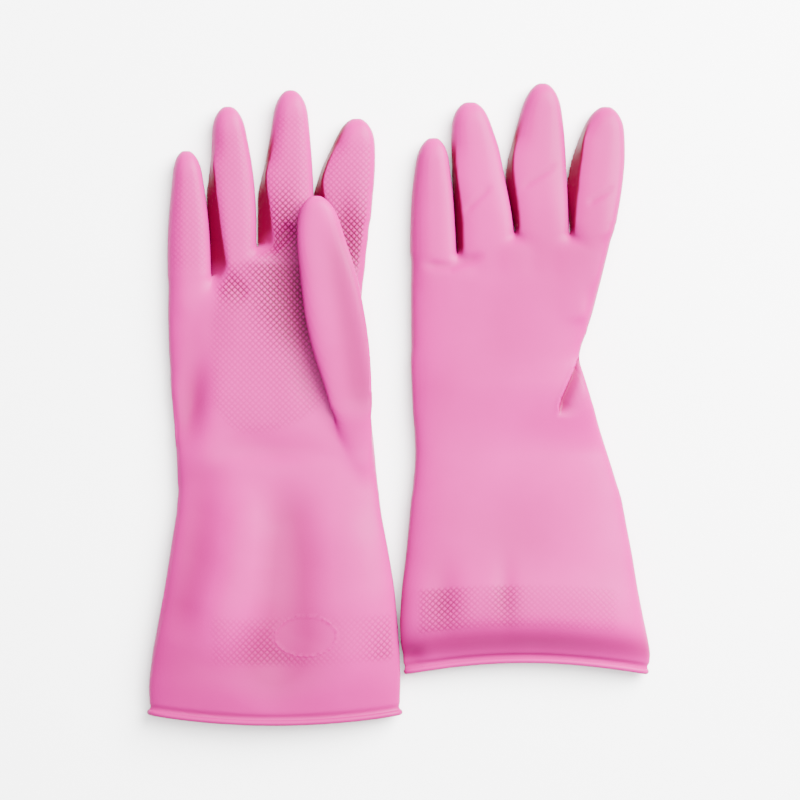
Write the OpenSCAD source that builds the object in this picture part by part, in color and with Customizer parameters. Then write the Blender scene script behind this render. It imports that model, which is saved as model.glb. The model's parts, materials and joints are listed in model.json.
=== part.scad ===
// A pair of household rubber gloves lying side by side on a flat surface.
// The right-hand glove lies palm up at -X with its thumb folded over the palm.
// The left-hand glove lies back up at +X with its thumb tucked under the palm.
// Fingers point along +Y and the surface is the plane Z = 0.
// Each glove is a thin film, cut here where it flexes: at the wrist, the thumb and the finger bends.

/* [Size] */
// Length of a glove from its cuff to the middle fingertip
glove_length = 320; // [280:1:360]
// Thickness of the rubber film
film = 0.5; // [0.4:0.05:0.8]
// Diameter of the rolled bead round the cuff
bead_d = 3; // [2:0.5:4]

/* [Lie] */
// Height of a gauntlet at its fullest
gauntlet_h = 20; // [16:1:26]
// Height of the mouth at the cuff
mouth_h = 14; // [12:1:16]
// Height of a hand
hand_h = 13; // [12:1:16]
// Height of a finger
finger_h = 12; // [11:1:14]
// Height of the thumb that lies on the palm
thumb_h = 12; // [10:1:14]
// Rise of the left hand, per millimetre across, where it leans on its thumb
lean = 0.1; // [0.09:0.01:0.12]

/* [Flex lines] */
// Gap between two zones of film where they flex
joint_gap = 0.3; // [0.2:0.1:0.6]

/* [Detail] */
// Sides of a finger's outline
finger_sides = 16; // [12:4:24]
// Sides of a hand's or gauntlet's outline
hand_sides = 28; // [20:4:36]

/* [Hidden] */

PINK = [0.91, 0.50, 0.74];
BEAD_PINK = [0.93, 0.56, 0.78];
NOMINAL_LENGTH = 320;
k = glove_length / NOMINAL_LENGTH;
half_gap = joint_gap / 2;
BEAD_SIDES = 8;
bead_r = bead_d / 2;
// Distance from the bead's middle to its flats
bead_flat = bead_r * cos(180 / BEAD_SIDES);
// The film's edge stands this far up at the mouth, so that the bead rests on the surface
mouth_z = bead_flat - film / 2;
// An inner form runs this far past the outer one where the film is open
OPEN = 0.2;
// Roundness of an outline's upper and lower half: 2 is an ellipse, more is fuller at the corners
DOMED = 2.4;
FLAT = 4;
// Rings along each kind of zone
GAUNTLET_RINGS = 8;
HAND_RINGS = 6;
BASE_RINGS = 3;
TIP_RINGS = 7;
ROOT_RINGS = 3;
// A finger's height closes over this distance from its tip
TIP_RISE = 11;
// The finger's part inside the hand starts here
RIGHT_ROOT_Y = 44;
LEFT_ROOT_Y = 56;

// Stations along a glove: [y, left x, right x, low z, high z]
RIGHT_GAUNTLET = [
    [-155, -125.2, 0.2, mouth_z, mouth_h],
    [-140, -126, 0.8, 0, mouth_h + 3],
    [-100, -119.5, -1.5, 0, gauntlet_h],
    [-66, -113.5, -7, 0, gauntlet_h - 2],
    [-40, -111.5, -10, 0, hand_h + 2]
];
RIGHT_HAND = [
    [-40, -111.5, -10, 0, hand_h + 2],
    [-12, -113, -13, 0, hand_h],
    [20, -116, -17, 0, hand_h],
    [45, -116.5, -19, 0, hand_h],
    [58, -116, -19.5, 0, finger_h]
];
LEFT_GAUNTLET = [
    [-135, 2.8, 125.2, mouth_z, mouth_h],
    [-120, 1, 125.5, 0, gauntlet_h + 3],
    [-92, 1.5, 120, 0, gauntlet_h],
    [-56, 5.5, 113.5, 0, gauntlet_h - 3],
    [-26, 8, 105.5, 0, hand_h + 2]
];
LEFT_HAND = [
    [-26, 8, 105.5, 0, hand_h + 2],
    [-8, 7, 99, 0, hand_h + 1],
    [16, 6, 91.5, 0, hand_h],
    [44, 5.5, 97, 0, hand_h],
    [72, 5.5, 104, 0, finger_h]
];
// How far the middle of a cuff's edge stands from the line between its corners
RIGHT_BOW = -5;
LEFT_BOW = 6;

// Fingers: the reach of the round tip, the lower and upper bend, then stations [y, left x, right x]
RIGHT_LITTLE = [12, 67, 98, [[127.5, -114.2, -100.2], [117, -113.9, -99.2], [101, -115.4, -96.9],
    [84, -116.6, -95.2], [66, -116.6, -94.6], [44, -115.5, -93]]];
RIGHT_RING = [13, 83, 117, [[149.8, -94.1, -78.2], [137, -94.2, -77], [121, -94.7, -74],
    [101, -95.7, -72], [84, -94.4, -71.7], [66, -93.8, -71.3], [44, -93, -71]]];
RIGHT_MIDDLE = [13, 107, 133, [[158, -62.6, -46.6], [145, -63.4, -45.7], [129, -65.9, -44.2],
    [113, -68.9, -43.2], [101, -70.4, -42.9], [84, -70.9, -42.8], [44, -70.5, -42.5]]];
RIGHT_INDEX = [13, 107, 126, [[143.7, -30.2, -12.4], [133, -32.2, -12.1], [121, -37.6, -11.9],
    [105, -42, -12.9], [90, -42, -14.3], [44, -42, -19.5]]];
LEFT_LITTLE = [13, 79, 107, [[134, 9.4, 25], [121, 8.3, 25.3], [105, 6.3, 27.2],
    [82, 5.5, 28.6], [56, 6, 30]]];
LEFT_RING = [14, 90, 122, [[152, 25.8, 45.6], [141, 26.3, 46.4], [129, 26.1, 50.2],
    [113, 27.4, 53.2], [90, 29.2, 57.4], [56, 30.5, 60]]];
LEFT_MIDDLE = [14, 90, 127, [[161.5, 63.6, 80.8], [149, 61.8, 81.7], [137, 58.3, 83.1],
    [121, 54.9, 84], [113, 54.4, 84.2], [90, 58.4, 85], [56, 60, 85.5]]];
LEFT_INDEX = [13, 90, 121, [[149.7, 95.3, 112.7], [137, 92.2, 113.4], [121, 87.6, 113.4],
    [105, 85.4, 111.4], [90, 86, 108.6], [56, 86.5, 100]]];
RIGHT_FINGERS = [RIGHT_LITTLE, RIGHT_RING, RIGHT_MIDDLE, RIGHT_INDEX];
LEFT_FINGERS = [LEFT_LITTLE, LEFT_RING, LEFT_MIDDLE, LEFT_INDEX];
// Where the webs between the fingers end, from the little finger's to the index finger's
RIGHT_WEBS = [64, 79, 92];
LEFT_WEBS = [75.5, 85.5, 85];

// The right thumb lies on the palm; its root runs back into the hand
on_palm = hand_h + joint_gap;
RIGHT_THUMB_START = -10;
RIGHT_THUMB_BEND = 58;
RIGHT_THUMB = [
    [-10, -32.5, -13.2, on_palm, on_palm + thumb_h],
    [8, -37, -13.5, on_palm, on_palm + thumb_h],
    [32, -45, -15, on_palm, on_palm + thumb_h],
    [64, -49.5, -21, on_palm, on_palm + thumb_h],
    [84, -51, -27.5, on_palm, on_palm + thumb_h],
    [104, -50, -33, on_palm, on_palm + thumb_h]
];
RIGHT_THUMB_ROOT = [
    [-36, -27, -12.5, 2, hand_h + 1],
    [-24, -30, -12.7, 5, hand_h + 5],
    [-10, -32.5, -13.2, 8, on_palm + thumb_h]
];
// The left thumb lies under the palm, pressed flat by it
LEFT_THUMB_START = 0;
LEFT_THUMB_BEND = 46;
LEFT_THUMB_END = 88;
LEFT_THUMB = [[0, 64, 94], [24, 60, 89], [50, 57, 83], [70, 57, 80], [88, 58, 78]];
LEFT_THUMB_ROOT = [[-22, 70, 97, 0, 9], [-12, 67, 96, 0, 9], [0, 64, 94, 0, 9]];
THUMB_REACH = 12;
// The left hand leans on its thumb: the rise starts here and is full there, then fades along the fingers
LEAN_X = 6;
LEAN_START = -26;
LEAN_FULL = 12;
LEAN_FADE = 80;
LEAN_END = 150;

function between(a, b, t) = a + (b - a) * t;
function clamped(x, low, high) = max(low, min(high, x));
function eased(t) = let (c = clamped(t, 0, 1)) c * c * (3 - 2 * c);
function signed_power(x, p) = sign(x) * pow(abs(x), p);
function joined(lists) = [for (l = lists) for (p = l) p];
function steps(a, b, n) = [for (i = [0 : n]) between(a, b, i / n)];
// Steps from a to b that crowd towards b, for a round end
function closing_steps(a, b, n) = [for (i = [0 : n]) between(b, a, pow(1 - i / n, 2))];

// The row at y of a list of rows, on a smooth curve through them; rows may run up or down
function slope(rows, i) =
    let (a = rows[max(i - 1, 0)], b = rows[min(i + 1, len(rows) - 1)]) (b - a) / (b[0] - a[0]);
function hermite(a, b, ma, mb, t) =
    a * (1 + t * t * (2 * t - 3)) + ma * (t * (1 + t * (t - 2)))
    + b * (t * t * (3 - 2 * t)) + mb * (t * t * (t - 1));
function row_at(rows, y) =
    let (
        up = rows[1][0] > rows[0][0],
        past = [for (i = [0 : len(rows) - 2]) if (up ? rows[i][0] <= y : rows[i][0] >= y) i],
        i = len(past) > 0 ? past[len(past) - 1] : 0,
        step = rows[i + 1][0] - rows[i][0]
    )
    hermite(
        rows[i], rows[i + 1],
        slope(rows, i) * step, slope(rows, i + 1) * step,
        (y - rows[i][0]) / step
    );

// How far the left hand is lifted at a place by leaning on its thumb
function lift(x, y) =
    lean * max(x - LEAN_X, 0) * eased((y - LEAN_START) / (LEAN_FULL - LEAN_START))
    * (1 - eased((y - LEAN_FADE) / (LEAN_END - LEAN_FADE)));

// How far a round end has opened, at this distance from it
function opened(distance, reach) =
    let (t = clamped(distance / reach, 0, 1)) sqrt(max(1 - (1 - t) * (1 - t), 0));

// The corners of a unit outline, domed above and flatter below
function outline(sides) =
    [for (i = [0 : sides - 1])
        let (
            angle = (i + 0.5) * 360 / sides,
            p = 2 / (angle < 180 ? DOMED : FLAT),
            whole = pow(cos(180 / sides), p)
        )
        [signed_power(cos(angle), p) / whole, signed_power(sin(angle), p) / whole]];

// A ring of film round a station, drawn in by inset; bow moves its middle along y
function ring(s, sides, inset = 0, leans = 0, bow = 0) =
    [for (c = outline(sides))
        let (
            x = (s[1] + s[2]) / 2 + ((s[2] - s[1]) / 2 - inset) * c[0],
            low = max(s[3], 0),
            z = (low + s[4]) / 2 + ((s[4] - low) / 2 - inset) * c[1]
        )
        [k * x, k * (s[0] + bow * (1 - c[0] * c[0])), z + leans * lift(x, s[0])]];

// A station narrowed as it nears a round end, from a row [y, left x, right x] and its heights
function rounded(row, low, high, end, reach) =
    let (
        width = (row[2] - row[1]) * opened(end - row[0], reach),
        tall = (high - low) * opened(end - row[0], TIP_RISE),
        middle = (row[1] + row[2]) / 2,
        centre = between(low, high, 0.45)
    )
    [row[0], middle - width / 2, middle + width / 2, centre - tall * 0.45, centre + tall * 0.55];

function finger_ring(f, y, inset, leans) =
    ring(rounded(row_at(f[3], y), 0, finger_h, f[3][0][0], f[0]), finger_sides, inset, leans);

// The right thumb's ring at y
function thumb_ring(y, inset) =
    let (s = row_at(RIGHT_THUMB, y))
    ring(rounded(s, s[3], s[4], 104, THUMB_REACH), finger_sides, inset);

// The left thumb's ring at y: its upper side follows the palm above it
function pressed_ring(y, inset) =
    let (
        row = row_at(LEFT_THUMB, y),
        full = opened(LEFT_THUMB_END - y, THUMB_REACH),
        half = (row[2] - row[1]) / 2 * full - inset
    )
    [for (c = outline(finger_sides))
        let (
            x = (row[1] + row[2]) / 2 + half * c[0],
            under = (lift(x, y) - joint_gap) * between(0.5, 1, full)
        )
        [k * x, k * y, inset + (under - 2 * inset) * (c[1] + 1) / 2]];

// Triangles between the ring that starts at point a and the one that starts at b
function band(a, b, n) = joined([for (i = [0 : n - 1])
    let (j = (i + 1) % n)
    [[a + i, b + j, b + i], [a + i, a + j, b + j]]]);

// A thin tube: outer rings, and the same number of inner ones, open at both ends or closed at the last
module tube(outer, inner, closed = false) {
    n = len(outer[0]);
    m = len(outer);
    last = (m - 1) * n;
    far = closed
        ? joined([for (i = [1 : n - 2])
            [[last, last + i, last + i + 1],
             [m * n + last, m * n + last + i + 1, m * n + last + i]]])
        : band(last, m * n + last, n);
    polyhedron(
        joined(concat(outer, inner)),
        joined([
            joined([for (i = [0 : m - 2]) band(i * n, (i + 1) * n, n)]),
            joined([for (i = [0 : m - 2]) band((m + i + 1) * n, (m + i) * n, n)]),
            band(m * n, 0, n),
            far
        ]),
        convexity = 6
    );
}

// A solid run through rings, hulled one step at a time
module loft(rings) {
    n = len(rings[0]);
    for (i = [0 : len(rings) - 2])
        hull() polyhedron(
            concat(rings[i], rings[i + 1]),
            concat(
                band(0, n, n),
                [[for (j = [0 : n - 1]) j]],
                [[for (j = [n - 1 : -1 : 0]) n + j]]
            )
        );
}

module gauntlet(stations, bow) {
    start = stations[0][0];
    end = stations[len(stations) - 1][0] - half_gap;
    heights = steps(start, end, GAUNTLET_RINGS);
    color(PINK)
        tube(
            [for (y = heights)
                ring(row_at(stations, y), hand_sides, 0, 0, bow * (y - end) / (start - end))],
            [for (y = heights)
                ring(row_at(stations, y), hand_sides, film, 0, bow * (y - end) / (start - end))]
        );
}

// The rolled edge: a small round section carried round the mouth, against the film's edge
module cuff_bead(stations, bow) {
    path = ring(stations[0], hand_sides, film / 2, 0, bow);
    n = len(path);
    middle = (path[0] + path[n / 2]) / 2;
    points = joined([for (i = [0 : n - 1])
        let (
            along = path[(i + 1) % n] - path[(i + n - 1) % n],
            side = [along[2], 0, -along[0]] / norm([along[0], along[2]]),
            out = side * (path[i] - middle) < 0 ? -side : side
        )
        [for (j = [0 : BEAD_SIDES - 1])
            let (angle = (j + 0.5) * 360 / BEAD_SIDES)
            path[i] + [0, -bead_flat, 0] + bead_r * (cos(angle) * out + sin(angle) * [0, 1, 0])]]);
    faces = joined([for (i = [0 : n - 1])
        band(i * BEAD_SIDES, ((i + 1) % n) * BEAD_SIDES, BEAD_SIDES)]);
    color(BEAD_PINK) polyhedron(points, faces, convexity = 8);
}

// A hand's forms, drawn in by inset: the palm, the four finger roots and the webs between them
module hand_forms(stations, fingers, webs, root_y, leans, inset) {
    open = inset > 0 ? OPEN : 0;
    start = stations[0][0] + half_gap - open;
    end = stations[len(stations) - 1][0] - inset;
    loft([for (y = steps(start, end, HAND_RINGS))
        ring(row_at(stations, y), hand_sides, inset, leans)]);
    for (f = fingers)
        loft([for (y = steps(root_y, f[1] - half_gap + open, ROOT_RINGS))
            finger_ring(f, y, inset, leans)]);
    for (i = [0 : len(webs) - 1])
        loft([for (y = steps(root_y, webs[i] - inset, 2))
            let (
                a = row_at(fingers[i][3], y),
                b = row_at(fingers[i + 1][3], y),
                dip = 2 * (y - root_y) / (webs[i] - root_y)
            )
            ring([y, (a[1] + a[2]) / 2, (b[1] + b[2]) / 2, dip / 2, finger_h - dip],
                finger_sides, inset, leans)]);
}

module right_hand_forms(inset) {
    hand_forms(RIGHT_HAND, RIGHT_FINGERS, RIGHT_WEBS, RIGHT_ROOT_Y, 0, inset);
    end = RIGHT_THUMB_START - half_gap + (inset > 0 ? OPEN : 0);
    loft([for (y = steps(RIGHT_THUMB_ROOT[0][0], end, ROOT_RINGS))
        ring(row_at(RIGHT_THUMB_ROOT, y), finger_sides, inset)]);
}

module left_hand_forms(inset) {
    hand_forms(LEFT_HAND, LEFT_FINGERS, LEFT_WEBS, LEFT_ROOT_Y, 1, inset);
    end = LEFT_THUMB_START - half_gap + (inset > 0 ? OPEN : 0);
    loft([for (y = steps(LEFT_THUMB_ROOT[0][0], end, ROOT_RINGS))
        ring(row_at(LEFT_THUMB_ROOT, y), finger_sides, inset)]);
}

module finger_base(f, leans) {
    heights = steps(f[1] + half_gap, f[2] - half_gap, BASE_RINGS);
    color(PINK)
        tube(
            [for (y = heights) finger_ring(f, y, 0, leans)],
            [for (y = heights) finger_ring(f, y, film, leans)]
        );
}

module finger_tip(f, leans) {
    start = f[2] + half_gap;
    end = f[3][0][0];
    color(PINK)
        tube(
            [for (y = closing_steps(start, end - 0.25, TIP_RINGS)) finger_ring(f, y, 0, leans)],
            [for (y = closing_steps(start, end - 1.2, TIP_RINGS)) finger_ring(f, y, film, leans)],
            true
        );
}

module right_gauntlet() { gauntlet(RIGHT_GAUNTLET, RIGHT_BOW); }
module right_bead() { cuff_bead(RIGHT_GAUNTLET, RIGHT_BOW); }
module right_hand() {
    color(PINK)
        difference() {
            right_hand_forms(0);
            right_hand_forms(film);
        }
}
module right_thumb_base() {
    heights = steps(RIGHT_THUMB_START + half_gap, RIGHT_THUMB_BEND - half_gap, 4);
    color(PINK)
        tube([for (y = heights) thumb_ring(y, 0)], [for (y = heights) thumb_ring(y, film)]);
}
module right_thumb_tip() {
    start = RIGHT_THUMB_BEND + half_gap;
    end = 104;
    color(PINK)
        tube(
            [for (y = closing_steps(start, end - 0.25, TIP_RINGS)) thumb_ring(y, 0)],
            [for (y = closing_steps(start, end - 1.2, TIP_RINGS)) thumb_ring(y, film)],
            true
        );
}
module right_index_base() { finger_base(RIGHT_INDEX, 0); }
module right_index_tip() { finger_tip(RIGHT_INDEX, 0); }
module right_middle_base() { finger_base(RIGHT_MIDDLE, 0); }
module right_middle_tip() { finger_tip(RIGHT_MIDDLE, 0); }
module right_ring_base() { finger_base(RIGHT_RING, 0); }
module right_ring_tip() { finger_tip(RIGHT_RING, 0); }
module right_little_base() { finger_base(RIGHT_LITTLE, 0); }
module right_little_tip() { finger_tip(RIGHT_LITTLE, 0); }

module left_gauntlet() { gauntlet(LEFT_GAUNTLET, LEFT_BOW); }
module left_bead() { cuff_bead(LEFT_GAUNTLET, LEFT_BOW); }
module left_hand() {
    color(PINK)
        difference() {
            left_hand_forms(0);
            left_hand_forms(film);
        }
}
module left_thumb_base() {
    heights = steps(LEFT_THUMB_START + half_gap, LEFT_THUMB_BEND - half_gap, 3);
    color(PINK)
        tube([for (y = heights) pressed_ring(y, 0)], [for (y = heights) pressed_ring(y, film)]);
}
module left_thumb_tip() {
    start = LEFT_THUMB_BEND + half_gap;
    color(PINK)
        tube(
            [for (y = closing_steps(start, LEFT_THUMB_END - 0.25, TIP_RINGS)) pressed_ring(y, 0)],
            [for (y = closing_steps(start, LEFT_THUMB_END - 1.2, TIP_RINGS)) pressed_ring(y, film)],
            true
        );
}
module left_index_base() { finger_base(LEFT_INDEX, 1); }
module left_index_tip() { finger_tip(LEFT_INDEX, 1); }
module left_middle_base() { finger_base(LEFT_MIDDLE, 1); }
module left_middle_tip() { finger_tip(LEFT_MIDDLE, 1); }
module left_ring_base() { finger_base(LEFT_RING, 1); }
module left_ring_tip() { finger_tip(LEFT_RING, 1); }
module left_little_base() { finger_base(LEFT_LITTLE, 1); }
module left_little_tip() { finger_tip(LEFT_LITTLE, 1); }

right_gauntlet();
right_bead();
right_hand();
right_thumb_base();
right_thumb_tip();
right_index_base();
right_index_tip();
right_middle_base();
right_middle_tip();
right_ring_base();
right_ring_tip();
right_little_base();
right_little_tip();
left_gauntlet();
left_bead();
left_hand();
left_thumb_base();
left_thumb_tip();
left_index_base();
left_index_tip();
left_middle_base();
left_middle_tip();
left_ring_base();
left_ring_tip();
left_little_base();
left_little_tip();
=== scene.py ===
"""A pair of household rubber gloves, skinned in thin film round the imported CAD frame."""

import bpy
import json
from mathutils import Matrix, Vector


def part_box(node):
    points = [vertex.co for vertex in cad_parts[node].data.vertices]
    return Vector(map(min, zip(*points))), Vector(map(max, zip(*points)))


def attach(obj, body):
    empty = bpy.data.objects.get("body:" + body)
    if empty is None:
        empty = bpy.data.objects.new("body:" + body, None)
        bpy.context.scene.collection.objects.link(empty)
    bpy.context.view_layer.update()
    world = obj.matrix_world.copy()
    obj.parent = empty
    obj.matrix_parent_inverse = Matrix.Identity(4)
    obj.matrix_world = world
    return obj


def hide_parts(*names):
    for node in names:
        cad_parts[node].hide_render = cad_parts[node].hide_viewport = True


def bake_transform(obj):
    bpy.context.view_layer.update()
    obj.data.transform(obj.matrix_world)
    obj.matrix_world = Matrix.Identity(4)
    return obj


bl_info = {
    "name": "Rubber glove pair",
    "version": (1, 0, 0),
    "blender": (4, 5, 0),
    "location": "View3D > Sidebar > Gloves",
    "description": "Builds a pair of dipped rubber gloves as thin film round a CAD frame",
    "category": "Add Mesh",
}

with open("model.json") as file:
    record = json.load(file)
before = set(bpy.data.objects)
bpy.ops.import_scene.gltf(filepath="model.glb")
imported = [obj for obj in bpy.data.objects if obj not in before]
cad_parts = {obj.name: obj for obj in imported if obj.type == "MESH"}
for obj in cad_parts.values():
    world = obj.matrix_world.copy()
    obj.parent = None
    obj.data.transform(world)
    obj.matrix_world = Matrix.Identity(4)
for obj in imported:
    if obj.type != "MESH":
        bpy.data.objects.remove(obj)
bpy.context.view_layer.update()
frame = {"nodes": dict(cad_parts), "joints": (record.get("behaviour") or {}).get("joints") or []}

import json
import math

import bmesh
import bpy
import numpy as np
from bpy.props import FloatProperty, FloatVectorProperty, PointerProperty
from mathutils import Vector

MM = 0.001
FINGERS = ("little", "ring", "middle", "index")
# What the film's colour is mixed from, each stored on every point of it: painted shade between the fingers,
# in the emboss's grooves, in folds and in hollows, painted highlight on edges, and where it is embossed,
# which only roughens it
ZONES = ("gap", "grip", "grip_area", "edge", "fold", "hollow")
JOINTS = {joint["name"]: joint for joint in frame["joints"]}


# ---- Small maths ----


def eased(t):
    """t held between 0 and 1, with a soft start and a soft end."""
    t = np.clip(t, 0.0, 1.0)
    return t * t * (3.0 - 2.0 * t)


def ramp(t, start, end):
    """0 at start and 1 at end, softly, whichever of them is larger."""
    return eased((t - start) / (end - start))


def bump(x, y, cx, cy, rx, ry, turn=0.0):
    """A soft round hill of height 1, with radii rx and ry, turned by degrees."""
    a = math.radians(turn)
    u = ((x - cx) * math.cos(a) + (y - cy) * math.sin(a)) / rx
    v = ((y - cy) * math.cos(a) - (x - cx) * math.sin(a)) / ry
    return np.exp(-(u * u + v * v))


def crease(x, y, points, width):
    """1 on a line through points, falling away over width, and fading at both of its ends."""
    best = np.zeros(len(x))
    run = 0.0
    lengths = [math.dist(a, b) for a, b in zip(points, points[1:])]
    whole = sum(lengths)
    for (ax, ay), (bx, by), length in zip(points, points[1:], lengths):
        t = np.clip(((x - ax) * (bx - ax) + (y - ay) * (by - ay)) / length**2, 0, 1)
        away = np.hypot(x - ax - t * (bx - ax), y - ay - t * (by - ay))
        along = (run + t * length) / whole
        fade = ramp(along, 0, 0.25) * ramp(along, 1, 0.75)
        best = np.maximum(best, np.exp(-((away / width) ** 2)) * fade)
        run += length
    return best


def one_side(x, y, points, sharp, width):
    """A step down on the right of a line through points, which rises again over width."""
    best = np.full(len(x), 1e9)
    depth = np.zeros(len(x))
    for number, ((ax, ay), (bx, by)) in enumerate(zip(points, points[1:])):
        length = math.dist((ax, ay), (bx, by))
        t = np.clip(((x - ax) * (bx - ax) + (y - ay) * (by - ay)) / length**2, 0, 1)
        away = np.hypot(x - ax - t * (bx - ax), y - ay - t * (by - ay))
        side = np.sign((bx - ax) * (y - ay) - (by - ay) * (x - ax))
        along = (number + t) / (len(points) - 1)
        step = eased(side * away / sharp) * np.exp(-((away / width) ** 1.5)) * ramp(along, 1, 0.7)
        depth = np.where(away < best, step, depth)
        best = np.minimum(best, away)
    return depth


def wave(x, y, z, scale, seed):
    """Smooth repeatable unevenness between about -1 and 1, made of a few turned waves."""
    total = np.zeros(len(x))
    for i in range(5):
        a = seed * 1.7 + i * 2.4
        k = (1.0 + 0.37 * i) / scale
        total += np.sin(
            k * (x * math.cos(a) + y * math.sin(a) + z * math.sin(a * 1.3)) + seed * 3.1 + i
        ) / (1 + 0.6 * i)
    return total / 2.4


# ---- Measuring the CAD frame ----

# Fingers are measured from this far above their lower bend to this far below their tip
BEND_MARGIN = 0.5
TIP_MARGIN = 0.15


def node_edges(*names):
    """Both ends of every edge of some CAD nodes, in millimetres."""
    starts, ends = [], []
    for name in names:
        mesh = frame["nodes"][name].data
        co = np.zeros(len(mesh.vertices) * 3)
        mesh.vertices.foreach_get("co", co)
        co = co.reshape(-1, 3) / MM
        pairs = np.zeros(len(mesh.edges) * 2, int)
        mesh.edges.foreach_get("vertices", pairs)
        pairs = pairs.reshape(-1, 2)
        starts.append(co[pairs[:, 0]])
        ends.append(co[pairs[:, 1]])
    return np.concatenate(starts), np.concatenate(ends)


def section(edges, y):
    """[y, left x, right x, low z, high z] of the slice of some edges at y."""
    a, b = edges
    cut = (a[:, 1] - y) * (b[:, 1] - y) < 0
    t = (y - a[cut, 1]) / (b[cut, 1] - a[cut, 1])
    p = a[cut] + (b[cut] - a[cut]) * t[:, None]
    if len(p) == 0:
        raise RuntimeError(f"no slice of the frame at y = {y}")
    return [y, p[:, 0].min(), p[:, 0].max(), p[:, 2].min(), p[:, 2].max()]


def rows_at(rows, ys):
    """Rows read off at other places along y, straight between the given ones."""
    rows = np.array(rows, float)
    return np.stack([ys] + [np.interp(ys, rows[:, 0], column) for column in rows.T[1:]], axis=1)


def joint_y(name):
    return JOINTS[name]["pos_m"][1] / MM


def measured(side, name, joint, count, crowd):
    """Rows of a finger or a thumb, from its lower bend to its tip, crowded towards the tip."""
    edges = node_edges(f"{side}_{name}_base", f"{side}_{name}_tip")
    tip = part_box(f"{side}_{name}_tip")[1].y / MM - TIP_MARGIN
    start = joint_y(f"{side}_{joint}") + BEND_MARGIN
    away = (tip - start) * np.linspace(1, 0, count) ** crowd
    return np.array([section(edges, y) for y in tip - away])


def softened(rows, passes=3):
    """Rows with their corners rounded off, keeping both ends."""
    rows = rows.copy()
    for _ in range(passes):
        rows[1:-1, 1:] = (rows[:-2, 1:] + 2 * rows[1:-1, 1:] + rows[2:, 1:]) / 4
    return rows


# ---- Rings and lofts ----


def outline(count, left, right, low, waist):
    """A closed unit outline, x from -1 to 1 and z from 0 to 1, widest at z = waist.
    left, right and low say how full the upper left, the upper right and the lower side are."""
    a = (np.arange(count) + 0.5) * 2 * math.pi / count
    c, s = np.cos(a), np.sin(a)
    power = np.where(s < 0, low, np.where(c < 0, left, right))
    x = np.sign(c) * np.abs(c) ** (2 / power)
    z = np.sign(s) * np.abs(s) ** (2 / power)
    return x, np.where(z > 0, waist + (1 - waist) * z, waist * (1 + z))


def rings_from(rows, shape):
    x, z = shape
    return [
        np.stack(
            [(r[1] + r[2]) / 2 + (r[2] - r[1]) / 2 * x, np.full(len(x), r[0]), r[3] + (r[4] - r[3]) * z],
            axis=1,
        )
        for r in rows
    ]


def finger_ring(row, flank):
    """A round finger's ring, or where flank is wide, one with a flat flank under a crease on its left."""
    left, right, low, high = row[1:]
    ring = rings_from([row], FINGER_SHAPE)[0]
    share = min(flank / FLANK_WHOLE, 1.0)
    foot = left - min(flank, FLANK_MOST) * FOOT_REACH
    middle, tall = (left + right) / 2, high - low
    edge = left + flank
    for i in range(FINGER_SIDES):
        # Quarter turns from the right of the ring: its top is at 1, its left at 2 and its foot at 3
        turn = 4 * (i + 0.5) / FINGER_SIDES
        if 1 < turn < CREASE_TURN:
            t = (turn - 1) / (CREASE_TURN - 1)
            creased = (middle + (edge - middle) * t, high - CREASE_DROP * tall * t**3)
        elif CREASE_TURN <= turn < 2:
            t = (turn - CREASE_TURN) / (2 - CREASE_TURN)
            drop = CREASE_DROP + (1 - FOOT_RISE - CREASE_DROP) * t
            creased = (edge + (foot - edge) * t, high - tall * drop)
        elif 2 <= turn < 3:
            t = turn - 2
            creased = (foot + (middle - foot) * t, low + FOOT_RISE * tall * (1 - t) ** 2)
        else:
            continue
        ring[i, 0] += share * (creased[0] - ring[i, 0])
        ring[i, 2] += share * (creased[1] - ring[i, 2])
    return ring


def loft(rings):
    """A closed surface through rings: (points, faces)."""
    n, m = len(rings[0]), len(rings)
    points = np.concatenate(list(rings) + [rings[0].mean(0)[None], rings[-1].mean(0)[None]])
    faces = []
    for i in range(m - 1):
        for j in range(n):
            k = (j + 1) % n
            faces.append((i * n + j, i * n + k, (i + 1) * n + k, (i + 1) * n + j))
    first, last = n * m, n * m + 1
    for j in range(n):
        k = (j + 1) % n
        faces.append((first, k, j))
        faces.append((last, (m - 1) * n + j, (m - 1) * n + k))
    return points, faces


def merged(parts):
    points, faces, start = [], [], 0
    for p, f in parts:
        points.append(p)
        faces += [tuple(i + start for i in face) for face in f]
        start += len(p)
    return np.concatenate(points), faces


def one_skin(parts, voxel):
    """The closed surface round overlapping lofts, as (points, quads), in millimetres."""
    points, faces = merged(parts)
    mesh = bpy.data.meshes.new("lofts")
    mesh.from_pydata((points * MM).tolist(), [], faces)
    obj = bpy.data.objects.new("lofts", mesh)
    bpy.context.collection.objects.link(obj)
    remesh = obj.modifiers.new("skin", "REMESH")
    remesh.mode = "VOXEL"
    remesh.voxel_size = voxel * MM
    whole = obj.evaluated_get(bpy.context.evaluated_depsgraph_get()).to_mesh()
    co = np.zeros(len(whole.vertices) * 3)
    whole.vertices.foreach_get("co", co)
    quads = np.zeros(len(whole.loops), int)
    whole.loops.foreach_get("vertex_index", quads)
    if len(quads) != 4 * len(whole.polygons):
        raise RuntimeError("the skin is not all quads")
    result = co.reshape(-1, 3) / MM, quads.reshape(-1, 4).copy()
    obj.evaluated_get(bpy.context.evaluated_depsgraph_get()).to_mesh_clear()
    bpy.data.objects.remove(obj)
    bpy.data.meshes.remove(mesh)
    return result


def quad_edges(quads):
    pairs = np.concatenate([quads[:, [i, (i + 1) % 4]] for i in range(4)])
    return np.unique(np.sort(pairs, axis=1), axis=0)


def neighbour_mean(points, pairs):
    """The mean of every point's neighbours."""
    count = np.maximum(np.bincount(pairs.ravel(), minlength=len(points)), 1)
    total = [
        np.bincount(pairs[:, 0], column[pairs[:, 1]], len(points))
        + np.bincount(pairs[:, 1], column[pairs[:, 0]], len(points))
        for column in points.T
    ]
    return np.stack(total, axis=1) / count[:, None]


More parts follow.
